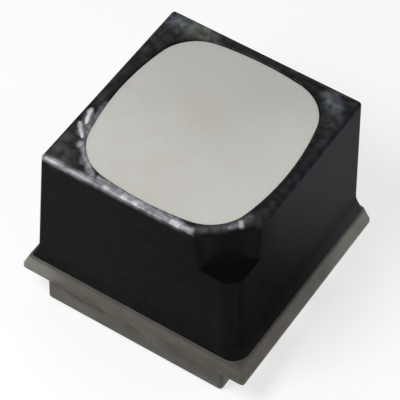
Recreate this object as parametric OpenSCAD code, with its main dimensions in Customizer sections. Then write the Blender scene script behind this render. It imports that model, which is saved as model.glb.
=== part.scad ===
// Red, green and blue light source in a surface-mount package with a raised black housing.
// Origin: centre of the footprint, on the solder plane. +Z points the way the light leaves.
// The cut corner of the housing, which marks pin 1, is at +X -Y. Leads leave on the two X sides.

/* [Package] */
// Size of the grey flange across the two lead sides
flange_x = 3.5; // [3.46:0.02:3.7]
// Size of the grey flange across the two plain sides
flange_y = 3.3; // [3.26:0.02:3.5]
// Height from the solder plane to the top of the rim
package_h = 2.9; // [2.8:0.05:3.2]

/* [Base moulding] */
// Height of the underside of the flange above the solder plane
foot_h = 0.5; // [0.48:0.01:0.6]
// How far the foot stands back from the flange on the lead sides
foot_inset_x = 0.36; // [0.34:0.01:0.42]
// How far the foot stands back from the flange on the plain sides
foot_inset_y = 0.07; // [0.04:0.01:0.15]
// Gap between the underside of the foot and the solder plane
standoff = 0.04; // [0.02:0.01:0.08]
// Height of the flange
flange_h = 0.28; // [0.2:0.01:0.34]
// Height of the upright band at the lower edge of the flange
flange_edge_h = 0.07; // [0.03:0.01:0.12]
// Height of the top of the white cup above the solder plane
cup_top_z = 2.05; // [1.6:0.05:2.1]

/* [Housing] */
// Size of the housing at the foot of its skirt, in X and Y
skirt_size = [3.28, 3.18]; // [3.14:0.01:3.28]
// Height of the flared skirt
skirt_h = 0.2; // [0.1:0.01:0.3]
// Size of the housing where the walls rise from the skirt, in X and Y
wall_size = [3.1, 3.1]; // [3.08:0.01:3.12]
// Size of the housing at the rim, in X and Y
rim_size = [2.92, 3.08]; // [2.9:0.01:3.1]
// Radius of the corner below the pin 1 mark
mark_corner_r = 0.25; // [0.1:0.01:0.3]
// Radius of the other upright corners
corner_r = 0.05; // [0.03:0.01:0.1]

/* [Window] */
// Size of the window in the rim, in X and Y
window_size = [2.56, 2.8]; // [2.4:0.01:2.8]
// Corner radius of the window
window_r = 0.66; // [0.56:0.01:0.72]
// How far the middle of a side bows out past its ends, on the X sides and on the Y sides
window_bow = [0.08, 0.04]; // [0.02:0.01:0.1]
// Corner radius of the cup where it meets its floor
floor_r = 0.25; // [0.2:0.01:0.32]
// Depth of the resin below the rim
resin_recess = 0.03; // [0:0.01:0.1]

/* [Pin 1 mark] */
// Length of the cut along each edge of the rim
mark_leg = 0.62; // [0.4:0.01:0.7]
// Depth of the cut below the rim
mark_depth = 0.58; // [0.3:0.01:0.6]
// Slope of the cut face away from upright, in degrees
mark_draft = 7; // [0:1:10]

/* [Leads] */
// Thickness of the lead frame
lead_t = 0.15; // [0.1:0.01:0.16]
// Width of each lead
lead_w = 0.5; // [0.35:0.01:0.6]
// Distance between the centres of neighbouring leads on the board
lead_pitch = 1.0; // [0.9:0.01:1.05]
// Distance between the centres of neighbouring lands on the cup floor
land_pitch = 0.66; // [0.64:0.01:0.7]
// Width of each land
land_w = 0.5; // [0.4:0.01:0.52]
// Inside radius of the two bends in a lead
bend_r = 0.06; // [0.04:0.01:0.06]
// Length of the solder pad under the foot, from the outer face of the foot
pad_len = 0.6; // [0.4:0.02:0.8]

/* [Chips] */
// Size of the red chip
red_size = [0.3, 0.3, 0.18]; // [0.12:0.01:0.36]
// Size of the green chip
green_size = [0.36, 0.28, 0.12]; // [0.12:0.01:0.36]
// Size of the blue chip
blue_size = [0.36, 0.28, 0.12]; // [0.12:0.01:0.36]
// Thickness of the adhesive under each chip
glue_t = 0.02; // [0.01:0.005:0.03]
// Distance of the contacts of the green and blue chips from the chip centre
contact_x = 0.11; // [0.08:0.01:0.12]
// Diameter of a contact on a chip
contact_d = 0.09; // [0.07:0.01:0.1]

/* [Bond wires] */
// Diameter of a bond wire
wire_d = 0.03; // [0.025:0.005:0.04]
// Upright length of a wire above its ball
wire_rise = 0.09; // [0.06:0.01:0.15]
// Radius of the loop at the top of a wire
loop_r = 0.08; // [0.06:0.01:0.12]
// Slope of a wire that crosses to the far lead, in degrees
far_slope = 35; // [34:1:38]
// Slope of a wire that returns to the chip's own lead, in degrees
near_slope = 42; // [36:1:43]

/* [Hidden] */
$fn = 48;

// How far a cutting shape runs past the face that it cuts
over = 0.5;
// Thickness of the thin posts that a hull joins
post_h = 0.01;

// Levels, from the solder plane up
skirt_z = foot_h + flange_h;
wall_z = skirt_z + skirt_h;
floor_z = foot_h - 0.05;
lead_z = floor_z - lead_t;
resin_z = package_h - resin_recess;
mark_z = package_h - mark_depth;

// Base moulding
flange_top_size = skirt_size + [0.04, 0.04];
foot_size = [flange_x - 2 * foot_inset_x, flange_y - 2 * foot_inset_y];
riser_size = [2.56, 2.8];
riser_r = 0.1;
pocket_gap = 0.03;

// Window: the outline is a core with four bowed sides, grown by the corner radius. bow_r is the
// radius of the core's X sides and of its Y sides, whose arcs meet at the core's corners.
core_size = window_size - 2 * [window_r, window_r];
core_corner = core_size / 2 - window_bow;
bow_r = [for (i = [0, 1])
    (pow(core_corner[1 - i], 2) + pow(window_bow[i], 2)) / (2 * window_bow[i])];
well_taper = (window_r - floor_r) / (package_h - floor_z);

// Leads: the bends start where the outer leg clears the foot
leg_gap = 0.01;
bend_x = foot_size.x / 2 + leg_gap - bend_r;
land_far_x = 0.3;
land_near_x = 0.45;
jog_start_x = 0.92;
jog_end_x = 1.12;

// Chips: one on each land of the long leads, in a row along Y
chip_z = floor_z + glue_t;
contact_t = 0.01;
glue_spread = 0.04;
ball_d = 0.08;
ball_h = 0.02;
stitch_d = 0.07;
stitch_h = 0.02;

// Corner radius of the tapered well at height z
function well_r(z) = window_r - (package_h - z) * well_taper;

// Flat rectangle with round corners
module rounded_rect(size, r) {
    square([size.x - 2 * r, size.y], center = true);
    square([size.x, size.y - 2 * r], center = true);
    for (sx = [-1, 1], sy = [-1, 1])
        translate([sx * (size.x / 2 - r), sy * (size.y / 2 - r)]) circle(r);
}

// Four thin posts at the corners of a rectangle, for a hull to join
module corner_posts(size, z, mark_r) {
    for (sx = [-1, 1], sy = [-1, 1]) {
        r = sx > 0 && sy < 0 ? mark_r : corner_r;
        translate([sx * (size.x / 2 - r), sy * (size.y / 2 - r), z])
            cylinder(h = post_h, r = r, $fn = 32);
    }
}

// Block that changes from one rectangle at z0 to another at z1
module drafted_block(lower, upper, z0, z1, mark_r) {
    hull() {
        corner_posts(lower, z0, mark_r);
        corner_posts(upper, z1 - post_h, mark_r);
    }
}

// Core of the window's outline: four wide arcs that meet at its corners
module window_core() {
    intersection_for(turn = [0:3]) {
        i = turn % 2;
        rotate(90 * turn)
            translate([core_size[i] / 2 - bow_r[i], 0])
                circle(bow_r[i], $fn = 120);
    }
}

// Thin slice of the well from height z up
module well_slice(z) {
    translate([0, 0, z])
        linear_extrude(height = post_h)
            offset(r = well_r(z))
                window_core();
}

// Tapered well of the window and the cup, from the cup floor to above the rim
module tapered_well() {
    hull() {
        well_slice(floor_z);
        well_slice(package_h + over);
    }
}

// Block that cuts the corner off the housing, down to the ledge
module mark_cut() {
    rim_corner = (rim_size.x + rim_size.y) / 2;
    face = (rim_corner - mark_leg) / sqrt(2);
    slope = tan(mark_draft);
    rotate([0, 0, -45])
        rotate([90, 0, 0])
            linear_extrude(height = package_h, center = true)
                polygon([[face + mark_depth * slope, mark_z],
                         [face - over * slope, package_h + over],
                         [package_h, package_h + over],
                         [package_h, mark_z]]);
}

// Black outer shell: skirt, walls, rim with the window, and the pin 1 mark
module housing() {
    color([0.09, 0.09, 0.1])
        difference() {
            union() {
                drafted_block(skirt_size, wall_size, skirt_z, wall_z, mark_corner_r);
                drafted_block(wall_size, rim_size, wall_z, package_h, mark_corner_r);
            }
            mark_cut();
            tapered_well();
            translate([0, 0, skirt_z - over])
                linear_extrude(height = cup_top_z - skirt_z + over)
                    rounded_rect(riser_size, riser_r);
        }
}

// Pocket under the foot for the solder pad of one lead
module pad_pocket(side, row) {
    pocket_w = lead_w + 2 * pocket_gap;
    pocket_len = pad_len + pocket_gap;
    x0 = side > 0 ? foot_size.x / 2 - pocket_len : -foot_size.x / 2 - over;
    translate([x0, row * lead_pitch - pocket_w / 2, -over])
        cube([pocket_len + over, pocket_w, over + lead_t]);
}

// Grey moulding in one piece: foot, flange and the cup that holds the chips
module base_moulding() {
    color([0.58, 0.56, 0.53])
        difference() {
            union() {
                translate([0, 0, standoff])
                    linear_extrude(height = foot_h - standoff)
                        rounded_rect(foot_size, corner_r);
                translate([0, 0, foot_h])
                    linear_extrude(height = flange_edge_h)
                        rounded_rect([flange_x, flange_y], corner_r);
                drafted_block([flange_x, flange_y], flange_top_size,
                              foot_h + flange_edge_h - post_h, skirt_z, corner_r);
                translate([0, 0, foot_h])
                    linear_extrude(height = cup_top_z - foot_h)
                        rounded_rect(riser_size, riser_r);
            }
            tapered_well();
            for (side = [-1, 1], row = [-1:1]) {
                lead(side, row);
                pad_pocket(side, row);
            }
        }
}

// Milky resin that fills the cup to just below the rim, round the chips and wires
module encapsulant() {
    color([0.75, 0.74, 0.71])
        difference() {
            intersection() {
                tapered_well();
                translate([-window_size.x, -window_size.y, floor_z - over])
                    cube([2 * window_size.x, 2 * window_size.y, resin_z - floor_z + over]);
            }
            red_chip();
            green_chip();
            blue_chip();
            red_adhesive();
            green_adhesive();
            blue_adhesive();
            red_wire();
            green_wire_far();
            green_wire_near();
            blue_wire_far();
            blue_wire_near();
        }
}

// Quarter ring that turns a strip of the lead frame, about the Y axis
module bend(start) {
    rotate([90, 0, 0])
        rotate([0, 0, start])
            rotate_extrude(angle = 90)
                translate([bend_r, -lead_w / 2])
                    square([lead_t, lead_w]);
}

// One lead on the +X side: land on the cup floor, neck, leg down the foot, pad under it
module lead_form(row, land_x) {
    land_y = row * land_pitch;
    pin_y = row * lead_pitch;
    translate([0, 0, lead_z])
        linear_extrude(height = lead_t)
            polygon([[land_x, land_y - land_w / 2],
                     [jog_start_x, land_y - land_w / 2],
                     [jog_end_x, pin_y - lead_w / 2],
                     [bend_x, pin_y - lead_w / 2],
                     [bend_x, pin_y + lead_w / 2],
                     [jog_end_x, pin_y + lead_w / 2],
                     [jog_start_x, land_y + land_w / 2],
                     [land_x, land_y + land_w / 2]]);
    translate([bend_x, pin_y, lead_z - bend_r])
        bend(0);
    translate([bend_x + bend_r, pin_y - lead_w / 2, lead_t + bend_r])
        cube([lead_t, lead_w, lead_z - lead_t - 2 * bend_r]);
    translate([bend_x, pin_y, lead_t + bend_r])
        bend(-90);
    translate([foot_size.x / 2 - pad_len, pin_y - lead_w / 2, 0])
        cube([pad_len - foot_size.x / 2 + bend_x, lead_w, lead_t]);
}

// Lead on either side: those on the -X side are longer and carry the chips
module lead(side, row) {
    color([0.8, 0.8, 0.78])
        if (side > 0) {
            lead_form(row, land_near_x);
        } else {
            mirror([1, 0, 0]) lead_form(row, -land_far_x);
        }
}

// Chip with its round contacts, centred on row y of the lands
module chip(size, row, contacts) {
    translate([0, row * land_pitch, chip_z]) {
        translate([-size.x / 2, -size.y / 2, 0])
            cube(size);
        for (x = contacts)
            translate([x, 0, size.z])
                cylinder(h = contact_t, d = contact_d);
    }
}

module red_chip() color([0.45, 0.16, 0.12]) chip(red_size, -1, [0]);

module green_chip() color([0.3, 0.55, 0.4]) chip(green_size, 0, [-contact_x, contact_x]);

module blue_chip() color([0.3, 0.42, 0.66]) chip(blue_size, 1, [-contact_x, contact_x]);

// Round dot of adhesive squeezed out under a chip
module adhesive(size, row) {
    translate([0, row * land_pitch, floor_z])
        cylinder(h = glue_t, r = norm([size.x, size.y]) / 2 + glue_spread);
}

module red_adhesive() color([0.7, 0.7, 0.68]) adhesive(red_size, -1);

module green_adhesive() color([0.85, 0.84, 0.78]) adhesive(green_size, 0);

module blue_adhesive() color([0.85, 0.84, 0.78]) adhesive(blue_size, 1);

// Bond wire toward +X: ball on the contact, upright, loop, slope, and stitch on a land
module bond_wire(x, z, slope) {
    arc_z = z + ball_h + wire_rise;
    end_x = x + loop_r + loop_r * sin(slope);
    end_z = arc_z + loop_r * cos(slope);
    stitch_z = floor_z + stitch_h / 2;
    run = (end_z - stitch_z) / sin(slope);
    translate([x, 0, z])
        cylinder(h = ball_h, d = ball_d);
    translate([x, 0, z + ball_h / 2])
        cylinder(h = ball_h / 2 + wire_rise, d = wire_d);
    translate([x + loop_r, 0, arc_z])
        rotate([90, 0, 0])
            rotate([0, 0, 90 - slope])
                rotate_extrude(angle = 90 + slope)
                    translate([loop_r, 0])
                        circle(d = wire_d);
    translate([end_x, 0, end_z])
        rotate([0, 90 + slope, 0])
            cylinder(h = run, d = wire_d);
    translate([end_x + run * cos(slope), 0, floor_z])
        cylinder(h = stitch_h, d = stitch_d);
}

// Wire in row y, from a chip of height chip_h; dir is +1 to the far lead, -1 to its own
module row_wire(row, chip_h, x, dir, slope) {
    color([0.9, 0.72, 0.3])
        translate([0, row * land_pitch, 0])
            mirror([dir < 0 ? 1 : 0, 0, 0])
                bond_wire(x, chip_z + chip_h + contact_t, slope);
}

module red_wire() row_wire(-1, red_size.z, 0, 1, far_slope);

module green_wire_far() row_wire(0, green_size.z, contact_x, 1, far_slope);

module green_wire_near() row_wire(0, green_size.z, contact_x, -1, near_slope);

module blue_wire_far() row_wire(1, blue_size.z, contact_x, 1, far_slope);

module blue_wire_near() row_wire(1, blue_size.z, contact_x, -1, near_slope);

housing();
base_moulding();
encapsulant();
lead(1, -1);  // lead_1
lead(1, 0);  // lead_2
lead(1, 1);  // lead_3
lead(-1, 1);  // lead_4
lead(-1, 0);  // lead_5
lead(-1, -1);  // lead_6
red_chip();
green_chip();
blue_chip();
red_adhesive();
green_adhesive();
blue_adhesive();
red_wire();
green_wire_far();
green_wire_near();
blue_wire_far();
blue_wire_near();
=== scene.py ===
import math
import bmesh
import bpy
import numpy as np
from mathutils import Matrix, Vector


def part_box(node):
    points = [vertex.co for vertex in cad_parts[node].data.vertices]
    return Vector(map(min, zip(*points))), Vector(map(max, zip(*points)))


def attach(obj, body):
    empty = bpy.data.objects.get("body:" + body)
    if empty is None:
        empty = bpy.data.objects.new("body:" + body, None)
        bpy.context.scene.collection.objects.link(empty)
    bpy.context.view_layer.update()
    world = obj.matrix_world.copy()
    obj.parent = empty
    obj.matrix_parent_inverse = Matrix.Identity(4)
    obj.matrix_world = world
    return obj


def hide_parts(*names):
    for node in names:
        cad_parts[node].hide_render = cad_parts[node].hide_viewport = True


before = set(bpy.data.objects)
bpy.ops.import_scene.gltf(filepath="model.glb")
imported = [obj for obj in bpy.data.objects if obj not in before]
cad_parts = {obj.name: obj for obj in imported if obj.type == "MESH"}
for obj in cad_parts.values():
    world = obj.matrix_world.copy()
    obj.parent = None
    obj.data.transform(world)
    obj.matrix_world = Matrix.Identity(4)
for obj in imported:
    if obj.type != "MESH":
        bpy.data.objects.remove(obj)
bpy.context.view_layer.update()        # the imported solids, in metres, each at its own place
print("frame loaded:", len(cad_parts), "solids")

mm = 0.001
weldDistance = 1e-8      # metres: points closer than this are one point
scene = bpy.context.scene
boxes = {name: [np.array(corner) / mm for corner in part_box(name)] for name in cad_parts}


# Shapes are worked out in millimetres and turned to metres when the mesh is made

def easeStep(low, high, value):
    # 0 below low, 1 above high, and a cubic ease between them
    share = np.clip((value - low) / (high - low), 0, 1)
    return share * share * (3 - 2 * share)


def quarterTurn(steps):
    # sines and cosines of a quarter turn, for a rounded edge
    angle = np.linspace(0, math.pi / 2, steps + 1)
    return np.sin(angle), np.cos(angle)


def gridFaces(rows, columns, first, closedRows, closedColumns):
    # corner numbers of each cell; a closed direction joins its last line to its first
    row = np.arange(rows if closedRows else rows - 1)
    column = np.arange(columns if closedColumns else columns - 1)
    row, column = (a.ravel() for a in np.meshgrid(row, column, indexing="ij"))
    nextRow = (row + 1) % rows * columns
    nextColumn = (column + 1) % columns
    row = row * columns
    return first + np.stack([row + column, row + nextColumn, nextRow + nextColumn, nextRow + column], 1)


def addObject(name, data):
    item = bpy.data.objects.new(name, data)
    scene.collection.objects.link(item)
    return item


def makePiece(name, patches, material, replaced, sharpAngle=50):
    # a patch is its points (rows x columns x 3), and whether it closes along rows and along columns
    points = np.concatenate([patch[0].reshape(-1, 3) for patch in patches]) * mm
    faces, first = [], 0
    for grid, closedRows, closedColumns in patches:
        faces.append(gridFaces(grid.shape[0], grid.shape[1], first, closedRows, closedColumns))
        first += grid.shape[0] * grid.shape[1]
    mesh = bpy.data.meshes.new(name)
    mesh.from_pydata(points.tolist(), [], np.concatenate(faces).tolist())
    shell = bmesh.new()
    shell.from_mesh(mesh)
    bmesh.ops.remove_doubles(shell, verts=shell.verts, dist=weldDistance)
    bmesh.ops.recalc_face_normals(shell, faces=shell.faces)
    shell.to_mesh(mesh)
    shell.free()
    mesh.shade_smooth()
    mesh.set_sharp_from_angle(angle=math.radians(sharpAngle))
    mesh.materials.append(material)
    piece = addObject(name, mesh)
    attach(piece, "root")
    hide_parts(*replaced)
    print("made", name, "with", len(mesh.polygons), "faces")


# Shader helpers. A value is a plain one or a node's output, and those without a tree in their call put
# their node into the tree of the outputs that they are given.

def plug(socket, value):
    if isinstance(value, bpy.types.NodeSocket):
        socket.id_data.links.new(value, socket)
    else:
        socket.default_value = value


def addNode(tree, kind, settings=None, **inputs):
    node = tree.nodes.new("ShaderNode" + kind)
    for key, value in (settings or {}).items():
        setattr(node, key, value)
    for key, value in inputs.items():
        plug(node.inputs[key.replace("_", " ")], value)
    return node


def combine(kind, settings, inputs):
    # outputs of a node whose inputs are given by number or name
    tree = next(value.id_data for value in inputs.values() if isinstance(value, bpy.types.NodeSocket))
    node = addNode(tree, kind, settings)
    for key, value in inputs.items():
        plug(node.inputs[key], value)
    return node.outputs


def maths(operation, first, second=0.0, clamp=False):
    return combine("Math", {"operation": operation, "use_clamp": clamp}, {0: first, 1: second})[0]


def times(first, second):
    return maths("MULTIPLY", first, second)


def vectorMaths(operation, *values, **named):
    return combine("VectorMath", {"operation": operation}, {**dict(enumerate(values)), **named})


def blend(share, first, second):
    # first where share is 0, second where it is 1
    return combine("Mix", {"data_type": "FLOAT"}, {0: share, 2: first, 3: second})[0]


def mixColours(share, first, second):
    # the same for colours
    first, second = ((*colour, 1.0) if isinstance(colour, tuple) else colour for colour in (first, second))
    return combine("Mix", {"data_type": "RGBA"}, {0: share, 6: first, 7: second})[2]


def layered(colour, layers):
    # each layer is a mask and the colour that it lays over those before
    for mask, tint in layers:
        colour = mixColours(mask, colour, tint)
    return colour


def band(value, low, high, start=0.0, end=1.0):
    # smooth step from start, where value is at low, to end, where it is at high
    return addNode(value.id_data, "MapRange", {"interpolation_type": "SMOOTHSTEP"}, Value=value,
                   From_Min=low, From_Max=high, To_Min=start, To_Max=end).outputs["Result"]


def bandMm(length, low, high, start=0.0, end=1.0):
    # the same for a length, with low and high in mm
    return band(length, low * mm, high * mm, start, end)


def inside(*limits):
    # product of bands, each of a length and the two places in mm where it is 0 and 1
    total = None
    for length, low, high in limits:
        mask = bandMm(length, low, high)
        total = mask if total is None else times(total, mask)
    return total


def noise(place, scale, detail=2.0, roughness=0.5):
    return addNode(place.id_data, "TexNoise", Vector=place, Scale=scale, Detail=detail,
                   Roughness=roughness).outputs["Fac"]


def mottled(place, scale, detail, roughness, *limits):
    # noise through a band: the levels where it starts and ends, and the strengths there
    return band(noise(place, scale, detail, roughness), *limits)


def drawnOut(place, factors):
    return addNode(place.id_data, "Mapping", Vector=place, Scale=factors).outputs[0]


def axesOf(place):
    return addNode(place.id_data, "SeparateXYZ", Vector=place).outputs


def bumped(height, depth):
    node = addNode(height.id_data, "Bump", Height=height, Distance=depth * mm, Strength=1.0)
    return node.outputs["Normal"]


def newGroup(name, inputs, outputs):
    # group with named sockets; returns its tree, its inputs and its output node's inputs
    tree = bpy.data.node_groups.new(name, "ShaderNodeTree")
    for direction, sockets in (("INPUT", inputs), ("OUTPUT", outputs)):
        for socketName, kind in sockets.items():
            tree.interface.new_socket(socketName, in_out=direction, socket_type="NodeSocket" + kind)
    return tree, tree.nodes.new("NodeGroupInput").outputs, tree.nodes.new("NodeGroupOutput").inputs


def useGroup(group, place, **inputs):
    return addNode(place.id_data, "Group", {"node_tree": group}, Vector=place, **inputs).outputs


def emptyTree(owner):
    owner.use_nodes = True
    owner.node_tree.nodes.clear()
    return owner.node_tree


def newMaterial(name, **constants):
    # material with one Principled shader; returns it, the shader and the Object coordinates
    material = bpy.data.materials.new(name)
    tree = emptyTree(material)
    shader = addNode(tree, "BsdfPrincipled", **constants)
    plug(tree.nodes.new("ShaderNodeOutputMaterial").inputs["Surface"], shader.outputs[0])
    return material, shader, addNode(tree, "TexCoord").outputs["Object"]


def feed(shader, **sources):
    # varying colours, masks and normals into the shader's sockets
    for key, source in sources.items():
        plug(shader.inputs[key.replace("_", " ")], source)


# Effects that more than one finish uses

def makeSkinGroup():
    # uneven skin of a moulding: height is 0.7 x a broad noise + 0.3 x a fine one, mottle the broad one alone
    inputs = {"Vector": "Vector", "Scale": "Float", "Fineness": "Float"}
    tree, given, result = newGroup("mouldedSkin", inputs, {"Height": "Float", "Mottle": "Float"})
    broad = noise(given["Vector"], given["Scale"])
    fine = noise(given["Vector"], times(given["Scale"], given["Fineness"]), 3.0, 0.6)
    plug(result["Height"], maths("ADD", times(broad, 0.7), times(fine, 0.3)))
    plug(result["Mottle"], band(broad, 0.3, 0.7))
    return tree


def makeStrokeGroup():
    # Soft stroke: 1 near the line between two points, easing to 0 at its width. The width is narrowed by
    # taper x the square of the way from the middle, which is -1 at one end and 1 at the other.
    tree, given, result = newGroup("softStroke", {"Vector": "Vector", "From": "Vector", "To": "Vector",
                                                  "Width": "Float", "Taper": "Float"}, {"Mask": "Float"})
    line = vectorMaths("SUBTRACT", given["To"], given["From"])["Vector"]
    away = vectorMaths("SUBTRACT", given["Vector"], given["From"])["Vector"]
    reach = maths("DIVIDE", vectorMaths("DOT_PRODUCT", away, line)["Value"],
                  vectorMaths("DOT_PRODUCT", line, line)["Value"], clamp=True)
    nearest = vectorMaths("SCALE", line, Scale=reach)["Vector"]
    distance = vectorMaths("DISTANCE", away, nearest)["Value"]
    fromMiddle = maths("SUBTRACT", times(reach, 2.0), 1.0)
    narrowing = times(times(fromMiddle, fromMiddle), given["Taper"])
    width = times(given["Width"], maths("SUBTRACT", 1.0, narrowing))
    plug(result["Mask"], band(distance, times(width, 0.1), width, 1.0, 0.0))
    return tree


def makeSpeckGroup():
    # sparse fine specks, such as dust or filler: the middles of those cells whose own value is below amount
    tree, given, result = newGroup("fineSpecks", {"Vector": "Vector", "Scale": "Float", "Amount": "Float"},
                                   {"Mask": "Float"})
    cells = addNode(tree, "TexVoronoi", Vector=given["Vector"], Scale=given["Scale"]).outputs
    nearCentre = band(cells["Distance"], 0.08, 0.3, 1.0, 0.0)
    cellValue = addNode(tree, "SeparateColor", Color=cells["Color"]).outputs[0]
    plug(result["Mask"], times(nearCentre, maths("LESS_THAN", cellValue, given["Amount"])))
    return tree


mouldedSkin = makeSkinGroup()
softStroke = makeStrokeGroup()
fineSpecks = makeSpeckGroup()
print("shared effects made")


def newMoulding(name, look, **constants):
    # Material of a moulding, its skin fed in as roughness and bump. Returns the material, the shader, the
    # Object coordinates, the skin's mottle and the mask of the specks.
    material, shader, place = newMaterial(name, **constants)
    skin = useGroup(mouldedSkin, place, **look["skin"])
    feed(shader, Roughness=band(skin["Mottle"], 0.0, 1.0, *look["roughness"]),
         Normal=bumped(skin["Height"], look["skinDepth"]))
    return material, shader, place, skin["Mottle"], useGroup(fineSpecks, place, **look["specks"])["Mask"]


def warped(place, scale, amount):
    # place moved about, so that a pattern on it has ragged edges: noise x amount (mm) + place - half of it
    push = addNode(place.id_data, "TexNoise", Vector=place, Scale=scale, Detail=2.0).outputs["Color"]
    centred = vectorMaths("SUBTRACT", place, (0.5 * amount * mm,) * 3)["Vector"]
    return vectorMaths("MULTIPLY_ADD", push, (amount * mm,) * 3, centred)["Vector"]


def strokes(place, marks, taper=0.0):
    # strongest of a list of strokes: from and to in mm, width in mm, strength
    total = None
    for start, end, width, strength in marks:
        mask = useGroup(softStroke, place, From=Vector(start) * mm, To=Vector(end) * mm,
                        Width=width * mm, Taper=taper)["Mask"]
        mask = times(mask, strength)
        total = mask if total is None else maths("MAXIMUM", total, mask)
    return total


def rimStrokes(place, marks, taper=0.0):
    # the same on the rim, where a mark is x and y of its start, x and y of its end, width, strength
    return strokes(place, [((startX, startY, topZ), (endX, endY, topZ), width, strength)
                           for startX, startY, endX, endY, width, strength in marks], taper)


# Black housing: finish

blackFinish = {
    "colour": (0.0048, 0.0052, 0.0056), "greyer": (0.0078, 0.0082, 0.0088), "roughness": (0.35, 0.5),
    "coatRoughness": 0.24, "skin": {"Scale": 5200.0, "Fineness": 7.0}, "skinDepth": 0.0012,
    "specks": {"Scale": 14000.0, "Amount": 0.16}, "dustShare": 0.15, "dustColour": (0.04, 0.04, 0.042),
    # polish, as shares of gloss coat: least and most on the two hidden walls, where it rises with height, X
    # and Y; left and right end of the -Y wall; least and most on the +X wall, where it rises with height
    # and Y; gain there above the skirt and on it; two levels of the rim's patches and the shares there; lip
    "wallGloss": (0.10, 0.42), "frontGloss": (0.125, 0.085), "sideGloss": (0.035, 0.20),
    "skirtGain": (1.0, 2.2), "rimGloss": (0.35, 0.65, 0.08, 0.26), "lipGloss": 0.01,
    # painted sheen: colour of the +X wall, laid on towards the back and the top
    "sideSheenColour": (0.0065, 0.0082, 0.0122),
    # how much X and Y count beside the height, on the hidden walls and on the +X wall, and that one's draft
    "wallSlope": 0.4, "sideSlope": 1.25, "draft": 0.047,
    # places in mm where each of these starts and ends
    "wallReach": (0.6, 3.2), "sideReach": (0.4, 3.2), "frontReach": (-1.0, 1.0), "skirtReach": (1.02, 0.85),
    "sideFace": (1.485, 1.585), "frontFace": (-1.42, -1.50), "rimFace": (2.83, 2.88),
    "ledgeTop": (2.326, 2.321), "ledgeLow": (2.285, 2.31), "ledgeFade": (0.0, 0.3),
    "lipX": (1.41, 1.38), "lipY": (1.485, 1.46), "lipTop": (2.893, 2.886), "lipLow": (2.845, 2.86),
    # the cut corner is less polished, and the ledge under it not at all
    "cutCorner": [((1.12, -1.12, 2.95), (1.26, -1.26, 2.30), 0.80, 1.0)], "cutGloss": 0.045,
    "ledge": [((1.265, -1.325, 2.32), (1.275, -1.335, 2.32), 0.50, 1.0)],
    # painted light makes the cut face a little lighter, and painted shade darkens the ledge below it
    "cutColour": (0.0092, 0.0096, 0.0108), "ledgeShadeColour": (0.0036, 0.0038, 0.0042),
}

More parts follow.
